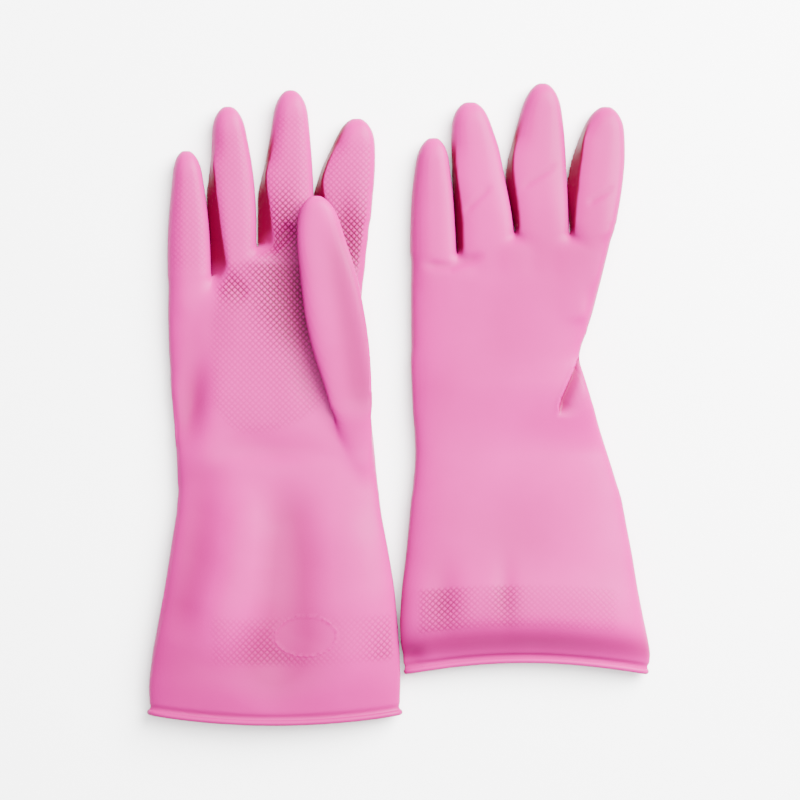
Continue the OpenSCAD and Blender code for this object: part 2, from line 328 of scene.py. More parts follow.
def relaxed(points, pairs, passes):
    """Points evened out along their edges without shrinking."""
    for _ in range(passes):
        points = points + (neighbour_mean(points, pairs) - points) * 0.5
        points = points - (neighbour_mean(points, pairs) - points) * 0.52
    return points


def evened(points, pairs, weight, passes):
    """Points drawn towards their neighbours by weight, which wears small steps away."""
    for _ in range(passes):
        points = points + (neighbour_mean(points, pairs) - points) * weight[:, None] * 0.5
    return points


# ---- The gloves' own shapes ----

FINGER_SIDES = 72
FINGER_SHAPE = outline(FINGER_SIDES, 2.1, 2.9, 2.5, 0.42)
THUMB_SHAPE = outline(64, 3.0, 2.3, 3.0, 0.42)
WEB_SHAPE = outline(48, 5.0, 5.0, 3.0, 0.5)
# How full the gauntlet and the palm are: upper left, upper right, lower side, and their waist
CUFF_FULL = np.array([2.5, 2.5, 3.4, 0.40])
PALM_FULL = np.array([2.7, 2.7, 4.0, 0.42])
KNUCKLE_FULL = np.array([3.6, 3.6, 4.2, 0.42])
# The thumb that lies on the palm is raised by this much while the skin is made, so the two don't fuse
THUMB_RAISE = 3.0
# from the height that it rests at, and it is free of the palm above this y
THUMB_BED = 13.0
THUMB_FREE = -13.0
# How high the free thumb is at most, as [y, height], and the rows of its root inside the palm
THUMB_TOPS = [(-10, 16.6), (0, 17.6), (12, 18.8), (28, 20.4), (50, 22.2), (70, 23.8)]
THUMB_ROOT = [
    [-44, -22, -12.4, 2, 11.5],
    [-34, -24, -12.6, 4, 12.8],
    [-24, -27.5, -12.6, 7, 14.0],
    [-16, -30.5, -12.9, 10, 15.2],
]
# The fingers are this much further apart while the skin is made, so that they don't fuse
SPREAD = 5.0
# which grows over this much below each web
SPREAD_RUN = 14.0
# Half the width that a slit closes over
SLIT = 0.25
# The slit between two fingers leans, so that one finger's foot lies this far under its neighbour
UNDERCUT = 2.2
# and it is upright above this height
UNDERCUT_HEIGHT = 3.4
# A flank is fully formed from this width on, and its foot reaches out no further than at the other
FLANK_WHOLE = 1.6
FLANK_MOST = 3.6
FOOT_REACH = 0.55
# Where round the ring the crease over a flank is, how far down, and how high the flank's foot is
CREASE_TURN = 1.55
CREASE_DROP = 0.10
FOOT_RISE = 0.08

RIGHT = {
    "side": "right",
    # How far up the web between each two fingers is, from the little finger's, and its place across
    "webs": (64.0, 79.0, 92.0),
    "web_places": (-94.2, -71.4, -42.4),
    # How far the painted dark shade on each gap's flank fades out above its web
    "web_fades": (17.0, 5.0, 6.0),
    # How wide the flat flank on each finger's left is, as [y, width]
    "flanks": {
        "ring": [
            (54, 0), (62, 5), (68, 7.5), (84, 5.6), (98, 4.8), (112, 2.9), (124, 0.6), (130, 0),
        ],
        "middle": [
            (70, 0), (77, 5), (84, 6.5), (96, 5.2), (104, 4.0), (113, 2.0), (122, 0.3), (128, 0),
        ],
        "index": [(84, 0), (92, 4), (103, 4.3), (112, 1.8), (122, 1.2), (130, 0)],
    },
    # Where the palm's own form ends inside the fingers, and the wrist and the mouth are
    "palm_end": 52.0,
    "wrist": -40.0,
    "mouth": -155.0,
    # How far the middle of the mouth lies above its ends
    "bow": -5.0,
    # How the gauntlet rises, as [y, height]
    "cuff_heights": [
        (-165, 13), (-155, 13.5), (-140, 17), (-120, 19), (-98, 20), (-66, 18), (-40, 15),
    ],
    # Where its two outer edges are, as [y, left, right]
    "sides": [
        (-161, -126.4, 1.4), (-155, -126.4, 1.4), (-151.5, -125.3, 0.4), (-146, -125.8, 0.6),
        (-140, -125.8, 0.8), (-125.5, -124, 0.3), (-109, -120.9, -0.8), (-93, -117.9, -2.3),
        (-77, -115.4, -4.8), (-61, -112.9, -7.8), (-45, -111.4, -9.8), (-12, -113, -13),
        (20, -116, -17), (45, -116.8, -19.3), (66, -116.6, -17), (90, -116, -14.3),
        (110, -114.5, -12.6),
    ],
    # How steeply the hand leans up over its own thumb
    "lean": 0.0,
}
LEFT = {
    "side": "left",
    "webs": (75.5, 85.5, 85.0),
    "web_places": (29.3, 58.1, 85.5),
    "web_fades": (5.0, 6.0, 6.0),
    "flanks": {
        "ring": [(68, 0), (76, 2.4), (92, 2.6), (103, 2.1), (113, 1.6), (122, 0.8), (130, 0)],
        "middle": [(78, 0), (86, 1.4), (95, 2.3), (103, 2.8), (113, 2.9), (124, 1.6), (134, 0)],
        "index": [(78, 0), (86, 0.8), (95, 2.3), (108, 3.9), (123, 3.2), (137, 0.8), (143, 0)],
    },
    "palm_end": 64.0,
    "wrist": -26.0,
    "mouth": -135.0,
    "bow": 6.0,
    "cuff_heights": [
        (-145, 9), (-135, 10), (-129, 13), (-121, 19.5), (-113, 22.5), (-100, 22), (-84, 19.5),
        (-56, 17), (-26, 15),
    ],
    "sides": [
        (-141, 3.4, 125.2), (-135, 2.8, 125.2), (-131.6, 1.3, 126), (-125.5, 1.2, 126.5),
        (-117, 0.6, 124.8), (-109, 0.4, 123), (-93, 1.3, 119.9), (-77, 3.3, 117.4),
        (-61, 4.8, 114.4), (-45, 6.3, 111.4), (-26, 8, 105.5), (-8, 7, 99.6), (16, 6, 92),
        (22, 5.8, 90), (26, 5.7, 90.8), (44, 5.5, 97), (72, 5.5, 104), (90, 5.5, 108.6),
        (112, 7, 112),
    ],
    "lean": 0.1,
}
# Where the left hand's lean sets in and ends along y, and the edge that it stays down along
LEAN_START = (-26, 12)
LEAN_END = (80, 150)
LEAN_EDGE = 6.0
# How much of a leaning finger's measured height is only its lean
TILT_SHARE = 0.62
# The height that a finger's centre lies at, and how far up the finger it is
FINGER_CENTRE = 5.4
CENTRE_SHARE = 0.45
# How high the palm is at the wrist and at the fingers
PALM_TOP = 13.0
HAND_TOP = 12.0
# The gauntlet is made this much too long, and then cut off at its mouth
MOUTH_SPARE = 6.0
# A web reaches this far to each side, starts this far down inside the palm, and dips this much at its end
WEB_REACH = 9.0
WEB_SUNK = 22.0
WEB_DIP = 5.4
# A finger's root starts this far down inside the palm, this much narrower, and tapers back over this
ROOT_SUNK = 30.0
ROOT_INSET = 9.0
ROOT_TAPER = 28.0
# Half the length of the film that bends at the wrist, and at each bend of a finger
WRIST_BAND = 14.0
ROOT_BAND = (8.0, 7.0)
MIDDLE_BAND = 7.0
# Bend lines run at least this far above the web beside them
WEB_CLEAR = 1.2
# The rows of the left thumb's root inside the palm
LEFT_THUMB_ROOT = [[-17, 68, 95.5, 1.5, 6.5], [-9, 66.5, 95, 0.4, 7]]
# Where the left thumb's film starts and is cut: in its bend, at its base and at its tip
LEFT_THUMB_CUTS = (-14.0, -2.0, 12.0, 46.0)
# Half the floor's width, in metres, and the camera's sensor, in millimetres
FLOOR_HALF = 3.0
SENSOR = 36.0
# Faces whose middle is this near to a cut are cut
CUT_REACH = 4.0
# Each glove's points along its mouth, which its bead is rolled round
MOUTHS = {}
# How much painted shade darkens each rolled bead's colour, more on the right glove
BEAD_PAINTED_SHADE = {"right": 0.6, "left": 0.05}


def lean_at(glove, x, y):
    """How far the film is lifted where the left hand leans on its thumb."""
    if glove["lean"] == 0:
        return np.zeros(len(x))
    rise = ramp(y, *LEAN_START) * (1 - ramp(y, *LEAN_END))
    return glove["lean"] * np.maximum(x - LEAN_EDGE, 0) * rise


def level_rows(rows):
    """Measured rows of a leaning finger, brought back to lie flat at the CAD's finger height."""
    rows = rows.copy()
    tall = rows[:, 4] - rows[:, 3]
    tilt = LEFT["lean"] * (rows[:, 2] - rows[:, 1]) * (1 - ramp(rows[:, 0], *LEAN_END)) * TILT_SHARE
    tall = tall - tilt
    rows[:, 3] = np.maximum(FINGER_CENTRE - tall * CENTRE_SHARE, 0)
    rows[:, 4] = rows[:, 3] + tall
    return rows


class Hand:
    """Where one glove's fingers and gaps are."""

    def __init__(self, glove):
        self.glove = glove
        side = glove["side"]
        self.rows = {}
        for name in FINGERS:
            rows = measured(side, name, f"{name}_root_bend", 34, 1.7)
            self.rows[name] = level_rows(rows) if glove["lean"] else rows
        self.gaps = []
        for i, (a, b) in enumerate(zip(FINGERS, FINGERS[1:])):
            low = max(self.rows[a][0, 0], self.rows[b][0, 0])
            high = min(self.rows[a][-6, 0], self.rows[b][-6, 0])
            ys = np.linspace(low, high, 30)
            right = np.interp(ys, self.rows[a][:, 0], self.rows[a][:, 2])
            left = np.interp(ys, self.rows[b][:, 0], self.rows[b][:, 1])
            places = np.r_[glove["web_places"][i], (left + right) / 2]
            self.gaps.append((np.r_[glove["webs"][i], ys], places))
        sides = np.array(glove["sides"], float)
        grid = np.arange(sides[0, 0], sides[-1, 0], 1.0)
        self.sides = softened(rows_at(sides, grid), 5)

    def side_x(self, which, y):
        """Where the glove's left (1) or right (2) outer edge is."""
        return np.interp(y, self.sides[:, 0], self.sides[:, which])

    def gap_x(self, i, y, z=None):
        """Where the middle of a gap is, at a height z if it is given, otherwise at its top."""
        under = 0 if z is None else UNDERCUT * (1 - np.clip(z / UNDERCUT_HEIGHT, 0, 1))
        return np.interp(y, *self.gaps[i]) - under

    def flank(self, name, y):
        widths = self.glove["flanks"].get(name, [(0, 0)])
        return np.interp(y, [w[0] for w in widths], [w[1] for w in widths])

    def root_rows(self, number):
        """A finger's rows from inside the palm up to its lower bend."""
        first = self.rows[FINGERS[number]][0]
        rows = []
        start = self.glove["palm_end"] - ROOT_SUNK
        for y in np.linspace(start, first[0] - 1, 20):
            inset = ROOT_INSET * (1 - ramp(y, start, start + ROOT_TAPER))
            if number > 0:
                left = self.gap_x(number - 1, y) + first[1] - self.gap_x(number - 1, first[0])
            else:
                left = self.side_x(1, y) + max(first[1] - self.side_x(1, first[0]), 0)
            if number < 3:
                right = self.gap_x(number, y) + first[2] - self.gap_x(number, first[0])
            else:
                right = self.side_x(2, y) + min(first[2] - self.side_x(2, first[0]), 0)
            rows.append([y, left + inset, right - inset, first[3] + inset / 2, first[4] - inset / 2])
        return np.array(rows)

    def shift(self, x, y, z):
        total = np.zeros(len(x))
        for i, web in enumerate(self.glove["webs"]):
            near = (x - self.gap_x(i, y, z) + SLIT) / (2 * SLIT)
            total += SPREAD * eased(near) * ramp(y, web - SPREAD_RUN, web)
        return total

    def spread(self, points):
        points = points.copy()
        points[:, 0] += self.shift(*points.T)
        return points

    def closed(self, points):
        """Spread points, brought back to where they belong."""
        low = points[:, 0] - 3 * SPREAD
        high = points[:, 0].copy()
        for _ in range(30):
            mid = (low + high) / 2
            over = mid + self.shift(mid, points[:, 1], points[:, 2]) > points[:, 0]
            high = np.where(over, mid, high)
            low = np.where(over, low, mid)
        points = points.copy()
        points[:, 0] = (low + high) / 2
        return points

    def finger_of(self, x, y, z):
        """The number of the finger, from the little one, that a place belongs to."""
        return sum((x > self.gap_x(i, y, z)).astype(int) for i in range(3))


def body_rows(glove, hand):
    """The rows of the gauntlet and the palm, one piece of film."""
    end = glove["palm_end"]
    ys = np.linspace(glove["mouth"] - MOUTH_SPARE, end, 110)
    tops = glove["cuff_heights"] + [(glove["wrist"] + 28, PALM_TOP), (end - 12, HAND_TOP), (end, HAND_TOP)]
    rows = np.stack(
        [
            ys,
            hand.side_x(1, ys),
            hand.side_x(2, ys),
            np.interp(ys, [glove["mouth"], glove["mouth"] + 14], [1.1, 0.0]),
            np.interp(ys, [t[0] for t in tops], [t[1] for t in tops]),
        ],
        axis=1,
    )
    rows[:, 3:] = softened(rows, 6)[:, 3:]
    return rows


def body_rings(glove, rows):
    rings = []
    for row in rows:
        share = ramp(row[0], glove["wrist"] - 20, glove["wrist"] + 20)
        knuckle = ramp(row[0], glove["palm_end"] - 46, glove["palm_end"] - 2)
        full = CUFF_FULL + (PALM_FULL - CUFF_FULL) * share + (KNUCKLE_FULL - PALM_FULL) * knuckle
        rings += rings_from([row], outline(110, *full))
    return rings


def glove_lofts(glove, hand):
    """Every overlapping form that a glove's skin is drawn round, spread for making."""
    parts = [loft(body_rings(glove, body_rows(glove, hand)))]
    end = glove["palm_end"]
    for number, name in enumerate(FINGERS):
        whole = softened(np.concatenate([hand.root_rows(number), hand.rows[name]]), 2)
        parts.append(loft([finger_ring(row, hand.flank(name, row[0])) for row in whole]))
    for i, web in enumerate(glove["webs"]):
        a, b = hand.rows[FINGERS[i]][0], hand.rows[FINGERS[i + 1]][0]
        place = glove["web_places"][i]
        left = max((a[1] + a[2]) / 2, place - WEB_REACH)
        right = min((b[1] + b[2]) / 2, place + WEB_REACH)
        t = np.linspace(0, 1, 15)
        ys = end - WEB_SUNK + (web - end + WEB_SUNK) * t
        dip = 4 + glove["web_fades"][i] / 2
        top = HAND_TOP - 0.1 - WEB_DIP * np.clip((ys - web + dip) / dip, 0, 1) ** 1.6
        rows = np.stack([ys, np.full(15, left), np.full(15, right), 0.6 + 2.4 * t**2, top], axis=1)
        parts.append(loft(rings_from(rows, WEB_SHAPE)))
    return [(hand.spread(points), faces) for points, faces in parts]


def blend_zone(glove, points, thumb):
    """Where the fingers' roots run into the palm, up to just below each web."""
    x, y, z = points.T
    web = np.interp(x, glove["web_places"], glove["webs"])
    zone = eased((y - glove["palm_end"] + 44) / 10) * eased((web + 0.8 - y) / 5)
    zone = np.maximum(zone, 0.6 * ramp(np.abs(y - glove["wrist"]), 24, 14))
    root = ramp(y, -46, -38) * ramp(y, 0, -12) * ramp(x, -46, -38) * (glove["side"] == "right")
    return np.maximum(zone * ~thumb, root) * ramp(z, 2, 5)


def thumb_rows():
    """The right thumb's rows, from its root inside the palm to its tip."""
    rows = measured("right", "thumb", "thumb_lift", 40, 1.6)
    rows[:, 4] = np.minimum(rows[:, 4], np.interp(rows[:, 0], *zip(*THUMB_TOPS)))
    return softened(np.concatenate([THUMB_ROOT, rows]), 3)


def raised(points):
    """The right thumb's points, lifted clear of the palm from its bed up."""
    points = points.copy()
    up = THUMB_RAISE * ramp(points[:, 1], -32, -12)
    points[:, 2] += up * np.clip((points[:, 2] - THUMB_BED + 0.1) / 0.4, 0, 1)
    return points


def is_raised(points):
    return points[:, 2] > THUMB_BED + THUMB_RAISE * 0.6


def lowered(points):
    """Raised points brought back down; also says which of them are the free thumb's."""
    up = THUMB_RAISE * ramp(points[:, 1], -32, -12)
    thumb = is_raised(points) & (points[:, 1] > THUMB_FREE)
    points = points.copy()
    points[:, 2] -= np.clip(points[:, 2] - THUMB_BED, 0, up)
    return points, thumb


# ---- Surface detail ----


# The blank oval on the right gauntlet, as its centre and its radii
OVAL = (-46.5, -113.4, 16.0, 10.0)
# The line where the left palm folds over the root of its thumb
THUMB_FOLD = [(90.5, 25), (86, 14), (80.5, 2), (79, -7)]
# Folds in the film, as (height, points, width): a height below 0 is a valley
PALM_FOLDS = [
    (-2.2, [(-58, 96), (-56, 78), (-55, 60), (-51, 38), (-42, 10), (-34, -10)], 10),
    (-1.8, [(-68, 76), (-60, 83), (-52, 90)], 4),
    (-0.7, [(-87, 66), (-82, 58), (-76, 52)], 4.5),
]
THUMB_FOLDS = [(-2.0, [(-36, 98), (-30, 60), (-24, 30), (-17, -20)], 9)]
RIGHT_CUFF_FOLDS = [
    (-2.0, [(-99, -34), (-103, -79), (-114, -120)], 11),
    (1.7, [(-70, -36), (-82, -89), (-98, -130)], 13),
    (-3.6, [(-60, -30), (-55, -80), (-56, -112), (-72, -150)], 16),
    (1.2, [(-24, -50), (-18, -105), (-24, -145)], 13),
]
LEFT_FOLDS = [
    (0.5, THUMB_FOLD, 1.6),
    (-0.9, [(10, 70), (26, 68.5), (44, 75)], 2.6),
    (-0.45, [(32, 95), (47, 110)], 1.8),
    (-0.45, [(60, 107), (81, 121)], 1.8),
    (-0.45, [(93, 99), (109, 109)], 1.8),
]
# Round hills and hollows, as (height, centre x, centre y, radius, radius, turn)
PALM_HILLS = [
    (-3.2, -104, 0, 7.5, 20, -8),
    (-1.5, -101, -37, 13, 8, 10),
    (1.2, -84, 45, 12, 16, 0),
    (-2.2, -26, 80, 8, 20, 10),
    (-1.3, -70, -22, 24, 9, -10),
]
LEFT_HILLS = [
    (-0.7, 50, 30, 30, 26, 0),
    (-1.4, 60, -66, 26, 24, 0),
    (-1.5, 22, -100, 8, 17, 0),
    (-1.0, 53, -98, 5, 17, 0),
]
# The dent at the left end of the left gauntlet, which goes right round its edge
END_DENT = (-1.6, 6, -128, 6, 5, 0)


def diamonds(x, y, pitch):
    """Raised diamonds with narrow grooves between them, from 0 in a groove to 1 on top."""
    a = np.abs(((x + y) / pitch / math.sqrt(2)) % 1 * 2 - 1)
    b = np.abs(((x - y) / pitch / math.sqrt(2)) % 1 * 2 - 1)
    return ramp(np.maximum(a, b), 0.98, 0.54)


def oval_at(x, y):
    """How far out a place is from the oval's centre: 1 on its outline."""
    return np.hypot((x - OVAL[0]) / OVAL[2], (y - OVAL[1]) / OVAL[3])


def right_grip(hand, x, y, z, thumb):
    """How strongly the right glove is embossed on its palm, its fingers and its gauntlet."""
    left = np.interp(y, [-18, 0, 38, 57, 66], [-84, -97.5, -98, -95, -90])
    low = -18 + 10 * np.clip(((x + 72) / 28) ** 2, 0, 3)
    palm = eased((x - left) / 7) * ramp(x, -16, -22) * eased((y - low) / 6) * ramp(y, 76, 68)
    strong = np.maximum(bump(x, y, -57, 54, 19, 34, 22), 0.8 * bump(x, y, -82, 58, 12, 10, -35))
    palm *= 0.26 + 0.74 * strong
    number = hand.finger_of(x, y, z)
    middle = 0.25 + 0.75 * bump(x, y, -57, 88, 9, 22)
    index = 0.3 + 0.7 * bump(x, y, -24, 82, 11, 22)
    tips = np.array([hand.rows[name][-1, 0] for name in FINGERS])[number]
    fingers = np.choose(number, [0.2, 0.2, middle, index]) * ramp(y, 60, 72) * eased((tips - 7 - y) / 10)
    band = ramp(x, -96, -91) * ramp(x, 0, -5) * ramp(y, -130, -125) * ramp(y, -102, -107)
    band *= 0.26 + 0.6 * np.maximum(bump(x, y, -66, -121, 17, 15), bump(x, y, -8, -122, 9, 16))
    band *= 0.62 * ramp(oval_at(x, y) ** 2, 1, 1.25)
    return np.maximum(np.maximum(palm, fingers) * ~thumb, band)


def left_grip(x, y):
    """How strongly the left glove is embossed, in a band across its gauntlet."""
    band = ramp(x, 7, 12) * ramp(x, 112, 106) * ramp(y, -92.5, -95.5) * ramp(y, -118, -115)
    strong = np.maximum(bump(x, y, 22, -104, 13, 16), 0.8 * bump(x, y, 53, -102, 8, 14))
    return band * (0.2 + 0.5 * strong)


def grip_mask(glove, hand, points, thumb, up):
    """Where the film is embossed, from 0 to 1."""
    x, y, z = points.T
    right = glove["side"] == "right"
    return ramp(up, 0.72, 0.92) * (right_grip(hand, x, y, z, thumb) if right else left_grip(x, y))


def painted_shade_zones(side, x, y, thumb):
    """Painted shade: where the film's colour is darkened to stand in for shade, in creases, in dips and on
    slopes that face away from the light.
    """
    if side == "right":
        # Painted shade along the gauntlet's left edge, in the trough left of the thumb, on the thumb's
        # right part, and darker towards the mouth
        edge = 0.3 * crease(x, y, [(-100, -50), (-104, -90), (-110, -150)], 14)
        palm = 0.5 * crease(x, y, [(-60, 80), (-55, 62), (-50, 24)], 9)
        ridge = np.interp(y, [-20, 12, 57, 103], [-21, -27, -34, -40])
        free = thumb * ramp(y, THUMB_FREE, THUMB_FREE + 20)
        thumb_right = 0.4 * free * eased((x - ridge + 2) / 9) * ramp(y, 104, 64)
        return 0.42 * ramp(y, -92, -132) + edge + palm + thumb_right
    # Painted shade right of the thumb fold, darker towards the fingers' upper right, and in the gauntlet's
    # dip above the bead
    fold = 0.9 * one_side(x, y, THUMB_FOLD, 0.8, 5.0)
    fingers = 0.42 * ramp(x, 24, 84) * ramp(y, 24, 84)
    return fold + fingers + 0.95 * np.exp(-(((y + 123) / 6.5) ** 2)) * ramp(y, -131, -127)


def pressed(x, y, folds, hills=()):
    """How far some folds and hills lift the film."""
    total = np.zeros(len(x))
    for height, points, width in folds:
        total += height * crease(x, y, points, width)
    for height, *place in hills:
        total += height * bump(x, y, *place)
    return total


def worn(glove, points, up, thumb):
    """How far the film stands in or out of its smooth form, along its normal."""
    x, y, z = points.T
    top = ramp(up, 0.1, 0.6)
    if glove["side"] == "right":
        free = thumb * ramp(y, THUMB_FREE, THUMB_FREE + 16)
        out = 0.35 * wave(x, y, z, 17.0, 1.0) + pressed(x, y, RIGHT_CUFF_FOLDS)
        out += (1 - free) * pressed(x, y, PALM_FOLDS, PALM_HILLS) + free * pressed(x, y, THUMB_FOLDS)
        out *= top
    else:
        out = 0.35 * wave(x, y, z, 17.0, 2.0) + pressed(x, y, LEFT_FOLDS, LEFT_HILLS)
        out -= 4.2 * one_side(x, y, THUMB_FOLD, 0.8, 5.0)
        out = out * top + pressed(x, y, (), [END_DENT])
    # A pinch just above the rolled bead
    return out - 0.7 * np.exp(-(((y - glove["mouth"] - 2.6) / 1.3) ** 2))


def film_piece(name, points, quads, thickness, attributes):
    """A closed thin solid: the outer film, the inner film a thickness inside it, and their rim."""
    outer, normals = points
    used = np.unique(np.concatenate([np.array(q) for q in quads]))
    place = -np.ones(len(outer), int)
    place[used] = np.arange(len(used))
    faces = [tuple(place[i] for i in q) for q in quads]
    count = len(used)
    seen = dict.fromkeys(pair for face in faces for pair in zip(face, face[1:] + face[:1]))
    rim = [(b, a, a + count, b + count) for a, b in seen if (b, a) not in seen]
    inner = [tuple(i + count for i in reversed(face)) for face in faces]
    co = np.concatenate([outer[used], outer[used] - normals[used] * thickness]) * MM
    mesh = bpy.data.meshes.new(name)
    mesh.from_pydata(co.tolist(), [], faces + inner + rim)
    for key, values in attributes.items():
        layer = mesh.attributes.new(key, "FLOAT", "POINT")
        layer.data.foreach_set("value", np.tile(values[used], 2).astype(np.float32))
    mesh.polygons.foreach_set("use_smooth", np.ones(len(mesh.polygons), bool))
    both = np.concatenate([normals[used], -normals[used]])
    mesh.normals_split_custom_set_from_vertices(both.tolist())
    mesh.update()
    mesh.materials.append(film_material())
    obj = bpy.data.objects.new(name, mesh)
    bpy.context.collection.objects.link(obj)
    return obj


def cut_across(bm, y, inside=None):
    """Cuts the faces near y, straight across at y: all of them, or those that pass a test."""
    faces = [f for f in bm.faces if abs(f.calc_center_median().y - y) < CUT_REACH]
    if inside:
        faces = [f for f in faces if inside(f)]
    parts = dict.fromkeys(faces)
    for face in faces:
        parts.update(dict.fromkeys([*face.verts, *face.edges]))
    bmesh.ops.bisect_plane(bm, geom=list(parts), dist=1e-4, plane_co=(0, y, 0), plane_no=(0, 1, 0))


def bands(glove):
    """Every stretch of film that bends: (name, finger or "thumb", start y, end y, its two bodies)."""
    side, wrist, webs = glove["side"], glove["wrist"], glove["webs"]
    cuff, palm = f"{side}_cuff", f"{side}_palm"
    found = [("wrist", None, wrist - WRIST_BAND, wrist + WRIST_BAND, cuff, palm)]
    for i, name in enumerate(FINGERS):
        clear = max(webs[max(i - 1, 0)], webs[min(i, 2)]) + WEB_CLEAR
        root = joint_y(f"{side}_{name}_root_bend")
        middle = joint_y(f"{side}_{name}_middle_bend")
        lower, upper = f"{side}_{name}_lower", f"{side}_{name}_upper"
        start = max(root - ROOT_BAND[0], clear)
        found.append((f"{name}_root", i, start, root + ROOT_BAND[1], palm, lower))
        found.append((f"{name}_middle", i, middle - MIDDLE_BAND, middle + MIDDLE_BAND, lower, upper))
    if side == "right":
        lift, bend = joint_y("right_thumb_lift"), joint_y("right_thumb_bend")
        lower, upper = "right_thumb_lower", "right_thumb_upper"
        found.append(("thumb_root", "thumb", lift + 1, lift + 17, palm, lower))
        found.append(("thumb_middle", "thumb", bend - 8, bend + 8, lower, upper))
    return found


def new_bmesh(points, quads):
    """Points and quads as a bmesh, with a layer that flags the free thumb and is still all 0."""
    bm = bmesh.new()
    bm.verts.layers.int.new("thumb")
    verts = [bm.verts.new(p) for p in points]
    for q in quads:
        bm.faces.new([verts[i] for i in q])
    bm.normal_update()
    return bm


def cut_off(bm, y):
    """Cuts away everything below y."""
    bmesh.ops.bisect_plane(
        bm, geom=bm.faces[:] + bm.edges[:] + bm.verts[:], dist=1e-4, plane_co=(0, y, 0),
        plane_no=(0, 1, 0), clear_inner=True,
    )


def arrays(bm):
    """A bmesh's points, normals and thumb flags."""
    bm.verts.index_update()
    bm.normal_update()
    flag = bm.verts.layers.int["thumb"]
    places = np.array([v.co for v in bm.verts])
    normals = np.array([v.normal for v in bm.verts])
    return places, normals, np.array([v[flag] for v in bm.verts], bool)


def glove_skin(glove, hand, grain):
    """A glove's outer skin before it is worn: (points, quads, which points are the free thumb's)."""
    parts = glove_lofts(glove, hand)
    right = glove["side"] == "right"
    if right:
        points, faces = loft(rings_from(thumb_rows(), THUMB_SHAPE))
        parts.append((raised(points), faces))
    spread, quads = one_skin(parts, grain)
    pairs = quad_edges(quads)
    points = hand.closed(spread)
    thumb = np.zeros(len(points), bool)
    if right:
        # The thumb lies over the fingers' roots and was never spread
        points[is_raised(spread), 0] = spread[is_raised(spread), 0]
        points, thumb = lowered(points)
    points = relaxed(points, pairs, 5)
    return evened(points, pairs, blend_zone(glove, points, thumb), 44), quads, thumb


def cut_skin(glove, hand, points, quads, thumb):
    """The skin with finer film where it is embossed, cut at the mouth and at every bend."""
    bm = new_bmesh(points, quads)
    flag = bm.verts.layers.int["thumb"]
    for v, t in zip(bm.verts, thumb):
        v[flag] = int(t)
    cut_off(bm, glove["mouth"])
    places, normals, flags = arrays(bm)
    mask = grip_mask(glove, hand, places, flags, normals[:, 2])
    fine = [f for f in bm.faces if max(mask[v.index] for v in f.verts) > 0.04]
    edges = list(dict.fromkeys(e for f in fine for e in f.edges))
    bmesh.ops.subdivide_edges(bm, edges=edges, cuts=1, use_grid_fill=True)
    for _, finger, start, end, _, _ in bands(glove):

        def mine(face, finger=finger):
            if finger is None:
                return True
            on_thumb = [v[flag] for v in face.verts]
            if finger == "thumb" or any(on_thumb):
                return finger == "thumb" and all(on_thumb)
            return hand.finger_of(*np.array(face.calc_center_median())[:, None])[0] == finger

        for y in (start, end):
            cut_across(bm, y, mine)
    places, normals, flags = arrays(bm)
    faces = [[v.index for v in f.verts] for f in bm.faces]
    bm.free()
    return places, normals, flags, faces


def embossing(glove, mask, up, x, y, pitch):
    """Where the film is embossed, and how high: diamonds, and on the right glove a blank oval."""
    scales = diamonds(x, y, pitch)
    if glove["side"] == "right":
        away = oval_at(x, y) - 0.97
        scales = scales + 1.1 * np.exp(-((away / 0.035) ** 2))
        mask = np.maximum(mask, 0.6 * np.exp(-((away / 0.05) ** 2)) * ramp(up, 0.5, 0.7))
    return mask, scales


def painted_gap_shade(glove, hand, x, y, sideways):
    """Painted shade: how deep in a gap between two fingers a place is, from where it is and how it faces,
    as the mask of the dark crimson shade painted on flanks that face left.
    """
    gap = np.zeros(len(x))
    for i, web in enumerate(glove["webs"]):
        away = x - hand.gap_x(i, y)
        near = ramp(sideways, -0.45, -0.75) * ramp(away, -3, -1.5) * ramp(away, 15, 11)
        fade = glove["web_fades"][i]
        above = ramp(y, web - fade * 0.4, web + fade * 0.6) * ramp(y, web + 62, web + 48)
        gap = np.maximum(gap, near * above)
    return gap


